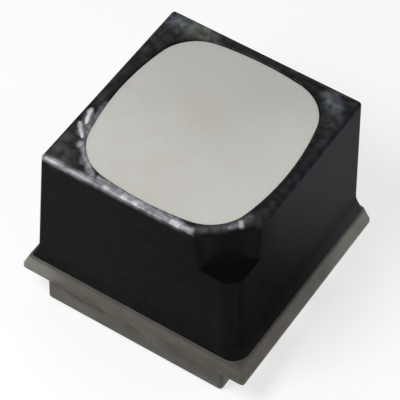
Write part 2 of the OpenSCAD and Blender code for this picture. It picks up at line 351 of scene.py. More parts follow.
rimWearAndGlints = {
    "silver": (0.56, 0.57, 0.61),
    # silvery flecks along the front edge, and brighter blots on them and beside the window
    # the flecks are partly worn edge and partly painted highlight; the blots are painted highlights and
    # glints
    "flecks": [(-1.43, -1.530, -1.14, -1.525, 0.100, 0.66), (-1.08, -1.527, -0.60, -1.515, 0.105, 0.58),
               (-0.75, -1.500, -0.30, -1.493, 0.105, 0.60), (-0.35, -1.490, 0.35, -1.482, 0.105, 0.65),
               (0.36, -1.480, 0.60, -1.474, 0.108, 0.68), (0.60, -1.474, 0.76, -1.466, 0.080, 0.58),
               (-0.99, -1.25, -0.96, -1.30, 0.085, 0.40)],
    "blots": [(-1.38, -1.520, -1.22, -1.530, 0.075, 0.9), (-0.97, -1.535, -0.91, -1.550, 0.065, 0.9),
              (-0.82, -1.525, -0.70, -1.520, 0.075, 0.65), (-0.52, -1.485, -0.46, -1.500, 0.070, 0.95),
              (-0.24, -1.493, -0.19, -1.493, 0.080, 1.0), (-0.08, -1.488, -0.03, -1.495, 0.075, 1.0),
              (0.06, -1.483, 0.15, -1.483, 0.070, 0.65), (0.28, -1.488, 0.30, -1.488, 0.065, 0.75),
              (0.38, -1.484, 0.41, -1.484, 0.070, 0.8), (0.49, -1.480, 0.58, -1.480, 0.090, 1.0),
              (0.64, -1.478, 0.73, -1.472, 0.070, 0.8), (-1.155, -1.075, -1.145, -1.105, 0.085, 0.65),
              (1.205, -1.020, 1.235, -1.060, 0.075, 0.80)],
    # painted highlights, streaks on the lip at the left corner and by the cut one, which narrow to their
    # ends
    "streaks": [(-1.372, -0.52, -1.345, -0.62, 0.074, 1.0), (-1.350, -0.60, -1.295, -0.76, 0.063, 1.0),
                (-1.372, -0.79, -1.300, -0.88, 0.068, 1.0), (-1.310, -0.87, -1.205, -0.98, 0.061, 1.0),
                (1.130, -1.180, 1.195, -1.060, 0.085, 0.55)],
    # painted sheen: a greyer lip between the flecks and the resin
    "lipSheens": [(-0.64, -1.42, -0.20, -1.44, 0.08, 0.34), (-0.20, -1.45, 0.50, -1.44, 0.12, 0.30),
               (-1.25, -0.35, -1.20, -0.80, 0.09, 0.26), (-1.33, -0.62, -1.27, -0.92, 0.085, 0.30),
               (-1.20, -0.80, -1.05, -1.12, 0.11, 0.34), (-1.05, -1.12, -0.90, -1.28, 0.10, 0.42),
               (-0.90, -1.28, -0.76, -1.43, 0.08, 0.42), (0.84, -1.385, 1.09, -1.20, 0.10, 0.07),
               (1.09, -1.20, 1.26, -0.90, 0.09, 0.10)],
    # painted sheen: thin pale patches at three rim corners and faintly along the -X side
    "rimSheens": [(-1.30, 1.40, -0.85, 1.44, 0.26, 0.66), (1.06, 1.39, 1.20, 1.27, 0.17, 0.74),
              (1.20, 1.28, 1.30, 1.05, 0.18, 0.22), (-1.36, -1.15, -1.25, -1.42, 0.24, 0.26),
              (-1.40, 1.2, -1.42, -0.4, 0.10, 0.08)],
    "rimSheenColour": (0.150, 0.165, 0.195), "rimSheenWarmer": (0.155, 0.17, 0.145),
    # the power that lets each kind fade softly, and how much a streak narrows
    "fleckFade": 1.3, "blotFade": 1.9, "streakFade": 2.2, "streakTaper": 0.35,
    # ragged outlines: scale of the noise, and amount in mm
    "torn": (8100.0, 0.040), "bent": (4500.0, 0.024),
    # noises that break the marks up: scale, detail, roughness, two levels and the strengths there
    "blotches": (6300.0, 1.0, 0.5, 0.36, 0.60, 0.55, 1.0),
    "sparkle": (12600.0, 1.0, 0.5, 0.30, 0.65, 0.75, 1.0),
    "chips": (9000.0, 1.0, 0.5, 0.36, 0.62, 0.6, 1.0),
    "lipSheenBreakup": (11700.0, 2.0, 0.6, 0.35, 0.65, 0.45, 1.1),
    "rimSheenHue": (3200.0, 2.0, 0.5, 0.4, 0.6),
    # the rim's patches, and their levels and strengths where they thin the painted sheen
    "patches": (9000.0, 3.0, 0.6), "thinning": (0.3, 0.7, 0.3, 1.0),
}


def wearAndGlintMask(place, torn):
    # strongest of the flecks, blots, streaks and lip sheens, each broken up by noise
    # real wear on the front edge, with painted highlights, glints and sheen on the rim and its lip
    rimMarks = rimWearAndGlints
    bent = warped(place, *rimMarks["bent"])
    sparkle = mottled(bent, *rimMarks["sparkle"])
    fleck = maths("POWER", rimStrokes(torn, rimMarks["flecks"]), rimMarks["fleckFade"])
    fleck = times(fleck, times(mottled(torn, *rimMarks["blotches"]), sparkle))
    blot = maths("POWER", rimStrokes(bent, rimMarks["blots"]), rimMarks["blotFade"])
    streak = rimStrokes(bent, rimMarks["streaks"], rimMarks["streakTaper"])
    streak = times(maths("POWER", streak, rimMarks["streakFade"]), mottled(place, *rimMarks["chips"]))
    lipSheen = times(rimStrokes(torn, rimMarks["lipSheens"]), mottled(torn, *rimMarks["lipSheenBreakup"]))
    wearAndGlint = fleck
    for other in (times(blot, sparkle), streak, lipSheen):
        wearAndGlint = maths("MAXIMUM", wearAndGlint, other)
    return wearAndGlint


def makeBlackPlastic():
    look, rimMarks = blackFinish, rimWearAndGlints
    material, shader, place, mottle, dust = newMoulding(
        "blackPlastic", look, Specular_IOR_Level=0.0, IOR=1.5, Coat_Roughness=look["coatRoughness"])

    # masks of the faces, worked out from a point's place
    x, y, z = axesOf(place)
    draftTakenOut = maths("ADD", x, times(z, look["draft"]))
    onSide = bandMm(draftTakenOut, *look["sideFace"])
    towardsBack = bandMm(maths("ADD", times(y, look["sideSlope"]), z), *look["sideReach"])
    onCut = strokes(place, look["cutCorner"])
    onLedge = times(inside((z, *look["ledgeTop"]), (z, *look["ledgeLow"])),
                    band(strokes(place, look["ledge"]), *look["ledgeFade"]))
    onLip = inside((maths("ABSOLUTE", x), *look["lipX"]), (maths("ABSOLUTE", y), *look["lipY"]),
                   (z, *look["lipTop"]), (z, *look["lipLow"]))

    torn = warped(place, *rimMarks["torn"])
    patches = noise(place, *rimMarks["patches"])
    rimSheen = times(rimStrokes(torn, rimMarks["rimSheens"]), band(patches, *rimMarks["thinning"]))
    rimSheenColour = mixColours(mottled(place, *rimMarks["rimSheenHue"]), rimMarks["rimSheenColour"], rimMarks["rimSheenWarmer"])
    wearAndGlint = wearAndGlintMask(place, torn)
    # painted light in the colour: sheen on the +X wall and the rim, a lighter cut face, shade on the ledge,
    # and glints with the wear
    colour = layered(look["colour"], [
        (mottle, look["greyer"]), (times(dust, look["dustShare"]), look["dustColour"]),
        (times(onSide, towardsBack), look["sideSheenColour"]), (onCut, look["cutColour"]),
        (onLedge, look["ledgeShadeColour"]), (rimSheen, rimSheenColour), (wearAndGlint, rimMarks["silver"])])

    slant = maths("ADD", times(maths("ADD", x, y), look["wallSlope"]), z)
    frontGloss = bandMm(x, *look["frontReach"], *look["frontGloss"])
    sideGloss = times(blend(towardsBack, *look["sideGloss"]),
                      bandMm(z, *look["skirtReach"], *look["skirtGain"]))
    gloss = bandMm(slant, *look["wallReach"], *look["wallGloss"])
    for mask, other in ((bandMm(y, *look["frontFace"]), frontGloss), (onSide, sideGloss),
                        (onCut, look["cutGloss"]), (onLedge, 0.0),
                        (bandMm(z, *look["rimFace"]), band(patches, *look["rimGloss"])),
                        (onLip, look["lipGloss"])):
        gloss = blend(mask, gloss, other)
    feed(shader, Base_Color=colour, Coat_Weight=maths("ADD", gloss, wearAndGlint, clamp=True))
    return material


# Black housing: one closed surface. Columns run round the outline, rows up the outside, over the rim,
# down the window and back underneath. Even stretches of columns are corners, and odd ones are straight.

housing = {
    "skirtHeight": 0.2, "wallHalf": (1.55, 1.55), "rimHalf": (1.46, 1.54),
    "cornerRadius": 0.05, "markCornerRadius": 0.25,
    "markLeg": 0.62, "markDepth": 0.58, "markDraft": 7.0, "markEdge": 0.045,
    "windowHalf": (1.28, 1.40), "windowRadius": 0.66, "windowBow": (0.08, 0.04), "floorRadius": 0.25,
    "riserHalf": (1.28, 1.40), "riserRadius": 0.1,
    "footEdge": 0.012, "rimEdge": 0.045, "ledgeEdge": 0.018, "lipEdge": 0.035,
    # share of a corner's radius that drawing it in may take
    "radiusTaken": 0.9,
    # blend of skirt and wall: how far it bulges, how far it spreads, and how far down it reaches
    "blendBulge": 0.005, "blendSpread": 0.05, "blendReach": 0.15,
    # waves of the rim: depth, and for each its turn per mm of X and of Y and its start, in radians
    "waveDepth": 0.003, "waves": ((2.3, 1.1, 0.4), (-1.7, 2.9, 1.9)),
    # columns along a corner, an end of the cut, the cut and a wall, and how far they draw to a wall's ends
    "arcSteps": 14, "cutArcSteps": 7, "cutSteps": 12, "wallSteps": 40, "drawToEnds": 0.11,
    # rows: gap above the foot; offsets from the skirt's top and from the ledge; gaps beside the rim's edge
    # and the lip; shares of the way across the rim
    "footGap": 0.008, "skirtRows": (-0.05, -0.035, 0.065, 0.1), "ledgeRows": (-0.06, -0.045, 0.012, 0.05),
    "rimGap": 0.012, "lipGap": 0.01, "rimShares": (0.05, 0.2, 0.4, 0.6, 0.8, 0.95),
    # share of the -Y wall at which the ledge's rows start to leave it, and of the +X wall at which they
    # are back on it
    "cutStart": 0.93, "cutEnd": 0.07,
}
skirtHalf = boxes["housing"][1][:2]
skirtZ, topZ = boxes["housing"][0][2], boxes["housing"][1][2]
floorZ, resinZ = boxes["encapsulant"][0][2], boxes["encapsulant"][1][2]
cupTopZ = boxes["base_moulding"][1][2]
wallZ = skirtZ + housing["skirtHeight"]
ledgeZ = topZ - housing["markDepth"]
rootTwo = math.sqrt(2)

stretchKinds = ("arc", "wall", "cutArc", "cut", "cutArc", "wall", "arc", "wall", "arc", "wall")
stretchCounts = [housing[kind + "Steps"] for kind in stretchKinds]
stretch = np.repeat(np.arange(len(stretchCounts)), stretchCounts)
share = np.concatenate([np.arange(count) / count for count in stretchCounts])
share = np.where(stretch % 2 == 1, share - housing["drawToEnds"] * np.sin(2 * math.pi * share), share)


def outlineAt(halfX, halfY, radius, cutDistance, cutRadius):
    # Rounded rectangle whose +X -Y corner is cut by the line x - y = root two x cutDistance, both ends of
    # the cut rounded by cutRadius. Five arcs and the straights between them, anticlockwise from -X -Y.
    shape = np.broadcast_shapes(*(np.shape(a) for a in (halfX, halfY, radius, cutDistance, cutRadius)),
                                (1, len(share)))
    halfX, halfY, radius, cutDistance, cutRadius = (
        np.broadcast_to(a, shape) for a in (halfX, halfY, radius, cutDistance, cutRadius))
    reach = rootTwo * (cutDistance - cutRadius)
    arcs = [(-halfX + radius, -halfY + radius, radius, 180, 270),
            (reach - halfY + cutRadius, -halfY + cutRadius, cutRadius, 270, 315),
            (halfX - cutRadius, halfX - cutRadius - reach, cutRadius, 315, 360),
            (halfX - radius, halfY - radius, radius, 0, 90),
            (-halfX + radius, halfY - radius, radius, 90, 180)]
    points = np.zeros((*shape, 2))
    for number, (centreX, centreY, arcRadius, startAngle, endAngle) in enumerate(arcs):
        on = stretch == 2 * number
        angle = np.radians(startAngle + (endAngle - startAngle) * share[on])
        points[:, on, 0] = centreX[:, on] + arcRadius[:, on] * np.cos(angle)
        points[:, on, 1] = centreY[:, on] + arcRadius[:, on] * np.sin(angle)
        on = stretch == 2 * number + 1
        nextX, nextY, nextRadius, nextAngle, _ = arcs[(number + 1) % len(arcs)]
        for axis, centre, nextCentre, turn in ((0, centreX, nextX, math.cos), (1, centreY, nextY, math.sin)):
            start = centre[:, on] + arcRadius[:, on] * turn(math.radians(endAngle))
            end = nextCentre[:, on] + nextRadius[:, on] * turn(math.radians(nextAngle))
            points[:, on, axis] = start + (end - start) * share[on]
    return points


def plainCut(halfX, halfY, radius):
    # the cut distance at which a corner of this radius isn't cut at all
    return (halfX + halfY - 2 * radius) / rootTwo + radius


def housingHalf(z, axis):
    # Half size at height z: the larger of the wall's straight draft and the steeper skirt's, plus a bulge
    # where they meet, which falls off as exp of minus the square of (distance / spread)
    low, high = housing["wallHalf"][axis], housing["rimHalf"][axis]
    wall = low + (high - low) * (z - wallZ) / (topZ - wallZ)
    skirt = skirtHalf[axis] + (low - skirtHalf[axis]) * (z - skirtZ) / (wallZ - skirtZ)
    bulge = np.where(z < wallZ - housing["blendReach"], 0.0, housing["blendBulge"])
    return np.maximum(wall, skirt) + bulge * np.exp(-((z - wallZ) / housing["blendSpread"]) ** 2)


def outerRing(z, inset, cutShare):
    # outside of the housing at height z, drawn in by inset; cutShare 0 is the whole corner, 1 the cut one
    taken = housing["radiusTaken"]
    halfX, halfY = housingHalf(z, 0) - inset, housingHalf(z, 1) - inset
    radius = housing["cornerRadius"] - np.minimum(inset, taken * housing["cornerRadius"])
    whole = housing["markCornerRadius"] - inset
    points = outlineAt(halfX, halfY, radius, plainCut(halfX, halfY, whole), whole)
    if np.any(cutShare > 0):
        faceDistance = (sum(housing["rimHalf"]) - housing["markLeg"]) / rootTwo
        slope = math.tan(math.radians(housing["markDraft"]))
        edge = housing["markEdge"] - np.minimum(inset, taken * housing["markEdge"])
        halfX, halfY = housingHalf(z, 0) - inset * cutShare, housingHalf(z, 1) - inset * cutShare
        cut = outlineAt(halfX, halfY, radius, faceDistance + (topZ - z) * slope - inset * cutShare, edge)
        points = points + (cut - points) * cutShare[..., None]
    return np.concatenate([points, np.broadcast_to(z, points.shape[:2])[..., None]], 2)


def makeWindowArcs():
    # Window outline: a core with four bowed sides, grown by the corner radius r. For each column, the centre
    # of its arc, the arc's radius where r is 0, and its angle: corners turn about the core's corners, and
    # sides about far centres.
    core = np.array(housing["windowHalf"]) - housing["windowRadius"]
    bow = np.array(housing["windowBow"])
    corner = core - bow
    bowRadius = (corner[::-1] ** 2 + bow ** 2) / (2 * bow)
    bowAngle = np.degrees(np.arcsin(corner[::-1] / bowRadius))
    far = core - bowRadius
    # centre, radius, first angle and last angle of each run, and the stretches of columns that it takes
    runs = [((-corner[0], -corner[1]), 0, 180 + bowAngle[0], 270 - bowAngle[1], (0,)),
            ((0, -far[1]), bowRadius[1], 270 - bowAngle[1], 270 + bowAngle[1], (1,)),
            ((corner[0], -corner[1]), 0, 270 + bowAngle[1], 360 - bowAngle[0], (2, 3, 4)),
            ((far[0], 0), bowRadius[0], 360 - bowAngle[0], 360 + bowAngle[0], (5,)),
            ((corner[0], corner[1]), 0, bowAngle[0], 90 - bowAngle[1], (6,)),
            ((0, far[1]), bowRadius[1], 90 - bowAngle[1], 90 + bowAngle[1], (7,)),
            ((-corner[0], corner[1]), 0, 90 + bowAngle[1], 180 - bowAngle[0], (8,)),
            ((-far[0], 0), bowRadius[0], 180 - bowAngle[0], 180 + bowAngle[0], (9,))]
    centres, radii, angles = np.zeros((len(share), 2)), np.zeros(len(share)), np.zeros(len(share))
    for centre, radius, startAngle, endAngle, stretches in runs:
        on = np.isin(stretch, stretches)
        along = np.arange(on.sum()) / on.sum() if len(stretches) > 1 else share[on]
        centres[on], radii[on] = centre, radius
        angles[on] = np.radians(startAngle + (endAngle - startAngle) * along)
    return centres, radii, angles


windowArcs = makeWindowArcs()
wellTaper = (housing["windowRadius"] - housing["floorRadius"]) / (topZ - floorZ)


def wellRing(z, grow):
    # the window and the cup below it at height z, grown outwards
    centres, radii, angles = windowArcs
    z, grow = np.broadcast_arrays(z, grow)
    reach = radii + housing["windowRadius"] - (topZ - z) * wellTaper + grow
    x = centres[:, 0] + reach * np.cos(angles)
    y = centres[:, 1] + reach * np.sin(angles)
    return np.stack([x, y, np.broadcast_to(z, x.shape)], 2)


def rimWaves(points):
    # the rim isn't quite flat: long shallow waves that only lower it, each its depth x (sine - 1)
    x, y = points[..., 0], points[..., 1]
    waves = housing["waves"]
    total = sum(np.sin(turnX * x + turnY * y + start) for turnX, turnY, start in waves)
    return housing["waveDepth"] * (total - len(waves))


def makeHousing(material):
    # Rings from the foot up: the wall, the ledge and the cut face above it, the rounded rim edge, the rim
    # and the rounded lip, then down the well and under the riser back to the foot. A rounded edge of radius
    # r is drawn in by r x (1 - cosine) where it has risen by r x sine.
    size = housing
    sines, cosines = quarterTurn(6)
    none, full = np.zeros((1, 1)), np.ones((1, 1))

    # columns at the cut corner are 1, and ease to 0 along the walls beside it
    nearCut = np.isin(stretch, (2, 3, 4)) + 0.0
    nearCut = np.where(stretch == 1, easeStep(size["cutStart"], 1.0, share), nearCut)
    nearCut = np.where(stretch == 5, 1 - easeStep(0.0, size["cutEnd"], share), nearCut)

    def column(values):
        return np.asarray(values, float)[:, None]

    foot = size["footEdge"]
    belowBlend, blendLow, blendHigh, aboveBlend = (wallZ + offset for offset in size["skirtRows"])
    belowLedge, climbStart, cutLow, cutNext = (ledgeZ + offset for offset in size["ledgeRows"])
    rows = [outerRing(column(skirtZ + foot * (1 - cosines)), column(foot * (1 - sines)), none)]
    wallHeights = np.concatenate([np.linspace(skirtZ + foot + size["footGap"], belowBlend, 5),
                                  np.linspace(blendLow, blendHigh, 7),
                                  np.linspace(aboveBlend, belowLedge, 10)])
    rows.append(outerRing(column(wallHeights), none, none))

    # the ledge: its rounded outer edge, then across to the cut face; elsewhere these rows climb the wall
    edge = size["ledgeEdge"]
    flatShares = np.linspace(0, 1, 9)[1:]
    atCut = column(np.concatenate([ledgeZ - edge + edge * sines, np.full(len(flatShares), ledgeZ)]))
    onWall = column(np.linspace(climbStart, ledgeZ, len(atCut)))
    ledgeHeights = atCut * nearCut + onWall * (1 - nearCut)
    ledgeInset = column(np.concatenate([edge * (1 - cosines), np.full(len(flatShares), edge)])) * nearCut
    cutShares = column(np.concatenate([np.zeros(len(sines)), flatShares]))
    low = outerRing(ledgeHeights, ledgeInset, none)
    cut = outerRing(ledgeHeights, none, full)
    rows.append(low + (cut - low) * cutShares[..., None])

    rimEdge = size["rimEdge"]
    upper = np.concatenate([[cutLow], np.linspace(cutNext, topZ - rimEdge - size["rimGap"], 8)])
    rows.append(outerRing(column(upper), none, full))
    outer = sum(len(row) for row in rows)
    rimRound = outerRing(column(topZ - rimEdge + rimEdge * sines), column(rimEdge * (1 - cosines)), full)
    lip = size["lipEdge"]
    lipRound = wellRing(column(topZ - lip + lip * cosines), column(lip * (1 - sines)))
    across = column(size["rimShares"])[..., None]
    rimFlat = rimRound[-1:] + (lipRound[:1] - rimRound[-1:]) * across
    rows += [rimRound, rimFlat, lipRound]

    rows.append(wellRing(column(np.linspace(topZ - lip - size["lipGap"], cupTopZ, 8)), none))
    riser = outlineAt(*size["riserHalf"], size["riserRadius"],
                      plainCut(*size["riserHalf"], size["riserRadius"]), size["riserRadius"])
    for z in (cupTopZ, skirtZ):
        rows.append(np.concatenate([riser, np.full((*riser.shape[:2], 1), z)], 2))
    points = np.concatenate(rows)

    # the waves fade to nothing at the rim's outer edge and at its lip
    topRows = slice(outer + len(sines) - 1, outer + len(sines) + len(across) + 1)
    fade = np.sin(np.linspace(0, math.pi, topRows.stop - topRows.start))[:, None]
    points[topRows, :, 2] += rimWaves(points[topRows]) * fade
    makePiece("black_shell", [(points, True, True)], material, ["housing"])


# Resin: finish and shape

resinFinish = {
    "colour": (0.50, 0.489, 0.462), "paler": (0.535, 0.524, 0.498), "warmer": (0.47, 0.454, 0.418),
    "roughness": (0.34, 0.46), "specular": 0.3,
    "glow": 0.25, "glowDepth": 0.12, "glowReach": (1.0, 0.95, 0.85),
    # scale, detail and roughness of the clouds, and two levels of theirs
    "clouds": (900.0, 3.0, 0.6, 0.3, 0.7), "skin": {"Scale": 2600.0, "Fineness": 9.0}, "skinDepth": 0.0010,
    "mottleShare": 0.5, "specks": {"Scale": 11000.0, "Amount": 0.35}, "fillerShare": 0.12,
    "fillerColour": (0.66, 0.65, 0.62),
    # painted shade greys the far side a little, painted light pales the right side, and two places are
    # browner
    "places": [((0.425, 0.417, 0.395), [((-0.9, 1.5, 2.87), (1.1, 1.45, 2.87), 2.3, 0.85)]),
               ((0.535, 0.524, 0.498), [((1.25, -1.1, 2.87), (1.35, 0.4, 2.87), 1.3, 0.8)]),
               ((0.43, 0.40, 0.35), [((-0.25, 0.32, 2.87), (-0.12, 0.18, 2.87), 0.45, 0.35),
                                     ((0.65, -0.25, 2.87), (0.8, -0.1, 2.87), 0.5, 0.15)])],
}


def makeMilkyResin():
    look = resinFinish
    material, shader, place, mottle, filler = newMoulding(
        "milkyResin", look, Specular_IOR_Level=look["specular"], IOR=1.45, Subsurface_Weight=look["glow"],
        Subsurface_Radius=look["glowReach"], Subsurface_Scale=look["glowDepth"] * mm)
    colour = layered(look["warmer"], [
        (mottled(place, *look["clouds"]), look["colour"]),
        (times(mottle, look["mottleShare"]), look["paler"]),
        # painted shade on the far side and painted light on the right side, with two browner places
        *((strokes(place, marks), tint) for tint, marks in look["places"]),
        (times(filler, look["fillerShare"]), look["fillerColour"])])
    feed(shader, Base_Color=colour)
    return material


resin = {
    "climb": 0.004, "climbWidth": 0.035,       # the resin rises a little at the well's wall
    "sag": 0.008, "sagWidth": 0.35,            # and sags towards the middle
    "edgeGrow": 0.002, "wallGrow": 0.003,      # it goes this far into the wall, so that no gap shows
    "insets": (0, 0.008, 0.018, 0.03, 0.045, 0.065, 0.09, 0.13, 0.18, 0.25, 0.34, 0.45, 0.58),
    "wallRows": 13,
}


def makeResin(material):
    # Rings from the middle of the top face out to its edge, down the cup wall and in to the middle of the
    # floor. The top is raised by climb x exp(-inset / its width) and lowered by sag x (1 - exp(-inset / its
    # width)), where inset is the distance from the edge.
    size = resin
    inset = np.array(size["insets"])[::-1, None]
    top = wellRing(np.full_like(inset, resinZ), size["edgeGrow"] - inset)
    height = size["climb"] * np.exp(-inset / size["climbWidth"])
    top[..., 2] = resinZ + height - size["sag"] * (1 - np.exp(-inset / size["sagWidth"]))
    inner = [top[:1] * [shrink, shrink, 1.0] for shrink in (0.0, 0.2, 0.4, 0.6, 0.8)]
    down = np.linspace(resinZ, floorZ, size["wallRows"])[:, None]
    wall = wellRing(down, np.full_like(down, size["wallGrow"]))
    floor = [wall[-1:] * [shrink, shrink, 1.0] for shrink in (0.66, 0.33, 0.0)]
    rows = np.concatenate([*inner, top, wall, *floor])
    makePiece("window_resin", [(rows, False, True)], material, ["encapsulant"])


# Grey moulding: finish

greyFinish = {
    "colour": (0.104, 0.096, 0.079), "paler": (0.137, 0.129, 0.108), "roughness": (0.42, 0.62),
    "specular": 0.35,
    # noises: scale, detail, roughness, two levels and the strengths there
    "clouds": (1100.0, 4.0, 0.65, 0.35, 0.7), "ragged": (4500.0, 3.0, 0.6, 0.32, 0.6, 0.35, 1.0),
    "skin": {"Scale": 4200.0, "Fineness": 6.0}, "skinDepth": 0.0022,
    "mottleShare": 0.25, "mottleColour": (0.13, 0.12, 0.10),
    "specks": {"Scale": 17000.0, "Amount": 0.3}, "speckShare": 0.3, "speckColour": (0.06, 0.054, 0.045),
    # broad patches, pinker where their noise is high and greener where it is low
    "patches": (700.0, 1.0, 0.5), "pinker": (0.121, 0.105, 0.089), "pinkBand": (0.50, 0.68, 0.0, 0.7),
    "greener": (0.110, 0.108, 0.080), "greenBand": (0.50, 0.32, 0.0, 0.7),
    # painted light makes the flange's ends paler, and painted shade dulls parts of the foot and of the
    # flange
    "places": [((0.25, 0.247, 0.218), [((-1.85, -1.65, 0.64), (-1.45, -1.65, 0.62), 0.42, 0.9),
                                       ((1.75, 1.00, 0.60), (1.75, 1.75, 0.60), 0.60, 0.95)]),
               ((0.080, 0.075, 0.055), [((-0.40, -1.58, 0.10), (0.45, -1.58, 0.10), 0.50, 0.55),
                                        ((0.45, -1.58, 0.15), (1.35, -1.58, 0.15), 0.55, 0.8),
                                        ((-0.30, -1.66, 0.56), (0.60, -1.66, 0.56), 0.17, 0.40),
                                        ((0.75, -1.66, 0.57), (1.60, -1.66, 0.57), 0.18, 0.90),
                                        ((1.30, -1.66, 0.60), (1.75, -1.50, 0.60), 0.30, 0.35)])],
    # brown stains mixed with painted shade under the flange's step, ragged, on the foot and the flange's
    # lower edge
    "stainAndShade": (0.062, 0.041, 0.029),
    "stainAndShadeMarks": [((-1.28, -1.58, 0.40), (-0.85, -1.58, 0.38), 0.16, 0.85),
               ((-0.85, -1.58, 0.40), (-0.55, -1.58, 0.37), 0.14, 0.70),
               ((-1.22, -1.65, 0.53), (-0.60, -1.65, 0.52), 0.11, 0.65),
               ((-0.30, -1.58, 0.33), (0.10, -1.58, 0.30), 0.13, 0.55),
               ((-0.50, -1.60, 0.46), (0.50, -1.60, 0.45), 0.09, 0.50),
               ((0.55, -1.58, 0.40), (0.98, -1.58, 0.33), 0.17, 0.90),
               ((0.50, -1.65, 0.53), (1.00, -1.65, 0.51), 0.11, 0.70)],
    # painted shade where the black housing stands on the flange: its colour, strength and how far down it
    # reaches
    "seamShadeColour": (0.036, 0.033, 0.029), "seamShadeStrength": 0.82, "seamShadeDepth": 0.05,
}


def makeGreyMoulding():
    look = greyFinish
    material, shader, place, mottle, specks = newMoulding(
        "greyMoulding", look, Specular_IOR_Level=look["specular"], IOR=1.5)
    patches = noise(place, *look["patches"])
    stainAndShade = times(strokes(place, look["stainAndShadeMarks"]), mottled(place, *look["ragged"]))
    height = axesOf(place)["Z"]
    seamShade = bandMm(height, skirtZ - look["seamShadeDepth"], skirtZ, 0.0, look["seamShadeStrength"])
    # painted light on the flange's ends, painted shade on the foot, under the flange's step and at the seam
    colour = layered(look["colour"], [
        (mottled(place, *look["clouds"]), look["paler"]),
        (times(mottle, look["mottleShare"]), look["mottleColour"]),
        (band(patches, *look["pinkBand"]), look["pinker"]),
        (band(patches, *look["greenBand"]), look["greener"]),
        *((strokes(place, marks), tint) for tint, marks in look["places"]),
        (stainAndShade, look["stainAndShade"]), (seamShade, look["seamShadeColour"]),
        (times(specks, look["speckShare"]), look["speckColour"])])
    feed(shader, Base_Color=colour)
    return material


# Grey moulding: a grid for the underside with a pocket for each solder pad, and a ring that goes up the
# foot, out along the flange, up to the cup, over its rim, down inside and in to the middle of its floor

baseMoulding = {
    "footInset": (0.36, 0.07), "footTop": 0.5, "edgeBand": 0.07, "topRim": 0.02,
    "cornerRadius": 0.05, "pocketGap": 0.03, "padLength": 0.6, "pocketRamp": 0.02,
    "footEdge": 0.015, "flangeEdge": 0.016, "lineSpacing": 0.07,
    # share of a half size from which lines move when the outline grows or shrinks
    "endZone": 0.9,
    # rows: heights on the foot, gap beside the flange's rounded edge, shares of the way up its slope, how
    # far the lowest of those is drawn in, inset and drop of two at the top, and number down the cup
    "footRows": (0.19, 0.3, 0.45, 0.49, 0.5), "edgeGap": 0.012,
    "slopeShares": (0.0, 0.04, 0.08, 0.4, 0.7, 0.9, 0.95), "slopeDraw": 0.003,
    "topRows": ((0.004, 0.004), (0.012, 0.0)), "cupRows": 6,
}
leadSize = {
    "thickness": 0.15, "bendRadius": 0.06, "edge": 0.018, "jogStart": 0.92, "jogEnd": 1.12, "jogGap": 0.01,
}
leadWidth = boxes["lead_2"][1][1] - boxes["lead_2"][0][1]
pinPitch = boxes["lead_3"][1][1] - leadWidth / 2
landPitch = boxes["lead_3"][0][1] + leadWidth / 2
leadRows = {"lead_1": (1, -1), "lead_2": (1, 0), "lead_3": (1, 1),
            "lead_4": (-1, 1), "lead_5": (-1, 0), "lead_6": (-1, -1)}      # side along X, row along Y


def bendCorners(x, y, halfX, halfY, radius):
    # Rectangle with square corners to one with round corners: inside a corner's square of side radius,
    # each point keeps its direction from the arc's centre, and its larger offset becomes its distance
    offX, offY = np.abs(x) - (halfX - radius), np.abs(y) - (halfY - radius)
    inCorner = (offX > 0) & (offY > 0)
    length = np.hypot(offX, offY)
    scale = np.where(inCorner, np.maximum(offX, offY) / np.where(length > 0, length, 1), 1.0)
    return (np.where(inCorner, np.sign(x) * (halfX - radius + offX * scale), x),
            np.where(inCorner, np.sign(y) * (halfY - radius + offY * scale), y))


def borderOf(grid):
    # border of a grid of points, once round: first row, last column, last row back, first column back
    return np.concatenate([grid[0, :-1], grid[:-1, -1], grid[-1, :0:-1], grid[:0:-1, 0]])


def packedLines(half, edges, ramp, spacing, cornerRadius):
    # even grid lines, five close ones across each edge, and three more beside each end
    edges = np.asarray(edges)
    even = np.linspace(-half, half, int(round(2 * half / spacing)) + 1)
    nearEdge = np.min(np.abs(even[:, None] - edges), axis=1) < ramp
    nearEnd = (np.abs(even) > half - 1.2 * cornerRadius) & (np.abs(even) < half)
    close = (edges[:, None] + ramp * np.linspace(-0.5, 0.5, 5)).ravel()
    ends = half - cornerRadius * np.array([1.0, 0.6, 0.3])
    return np.unique(np.concatenate([even[~nearEdge & ~nearEnd], close, ends, -ends]))


